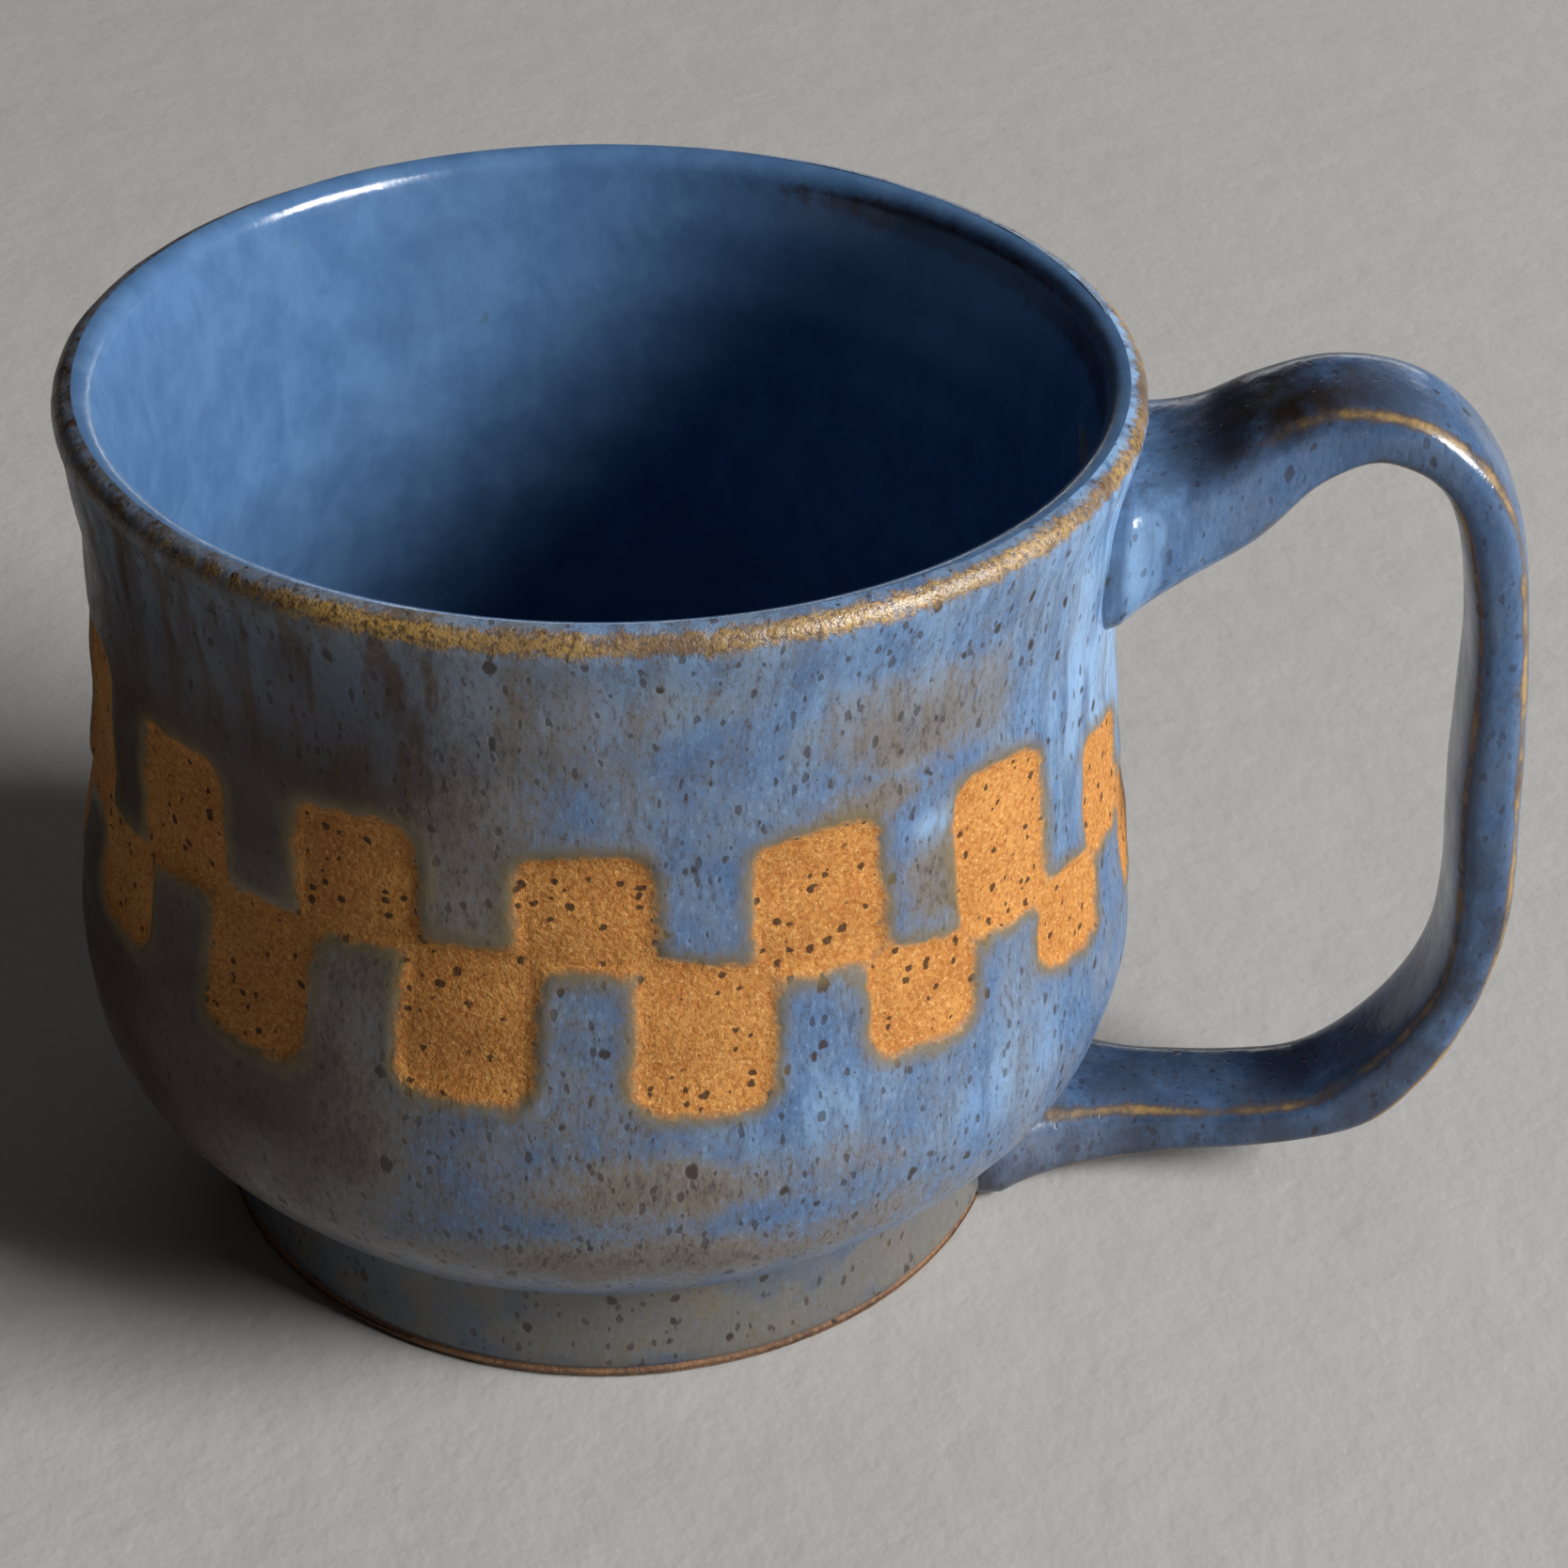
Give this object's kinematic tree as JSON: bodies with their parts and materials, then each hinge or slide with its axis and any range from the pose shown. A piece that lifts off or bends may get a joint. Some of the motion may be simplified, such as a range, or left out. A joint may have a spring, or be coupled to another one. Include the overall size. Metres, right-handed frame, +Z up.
{
  "type": "stoneware mug",
  "caption": "Hand-thrown stoneware mug with a strap handle, blue glaze and a chequered band of bare ochre squares.",
  "frame": {"origin": "centre of the foot on the table, on the axis of the cup", "axes": "+Z up the axis of the cup, +X out through the middle of the handle"},
  "size_m": [0.1287, 0.0948, 0.0826],
  "materials": {
    "stoneware": "matt unglazed iron-bearing stoneware",
    "handle_clay": "matt unglazed iron-bearing stoneware",
    "join_clay": "matt unglazed iron-bearing stoneware",
    "ochre_slip": "matt gritty ochre slip",
    "outer_glaze": "glossy mottled blue glaze with iron specks",
    "inner_glaze": "glossy even mid-blue glaze",
    "handle_glaze": "glossy blue glaze breaking to ochre on the edges"
  },
  "bodies": {
    "root": {"cup_body": "stoneware", "handle": "handle_clay", "upper_join": "join_clay", "lower_join": "join_clay", "slip_band": "ochre_slip", "outer_glaze": "outer_glaze", "inner_glaze": "inner_glaze", "handle_glaze": "handle_glaze"}
  },
  "joints": []
}
